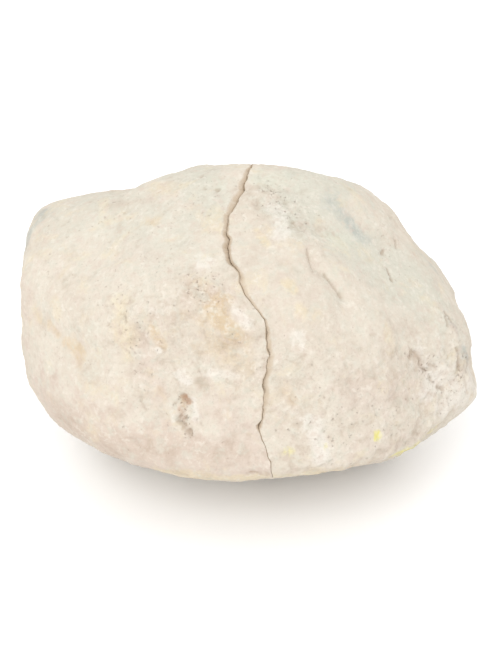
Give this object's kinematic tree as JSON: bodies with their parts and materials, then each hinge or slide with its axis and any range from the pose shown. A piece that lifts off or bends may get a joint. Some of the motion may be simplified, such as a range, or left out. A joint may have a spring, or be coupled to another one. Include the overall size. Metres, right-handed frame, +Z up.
{
  "type": "split geode",
  "caption": "Whole rounded geode with a rough pale rind, split in two and standing with its halves closed together along an irregular break.",
  "frame": {"origin": "on the surface that the stone rests on, under the middle of its outline", "axes": "+Z up; +X to the right along the length, seen from the front; the front of the stone, as pictured, faces -Y; the break between the halves lies close to the YZ plane"},
  "size_m": [0.1101, 0.0923, 0.0773],
  "materials": {
    "left_rind": "chalky cream limestone rind with pale yellow and ochre staining, dry and matt",
    "right_rind": "chalky cream limestone rind with blue-grey and pale yellow staining, dry and matt"
  },
  "bodies": {
    "root": {"left_half": "left_rind", "right_half": "right_rind"}
  },
  "joints": []
}
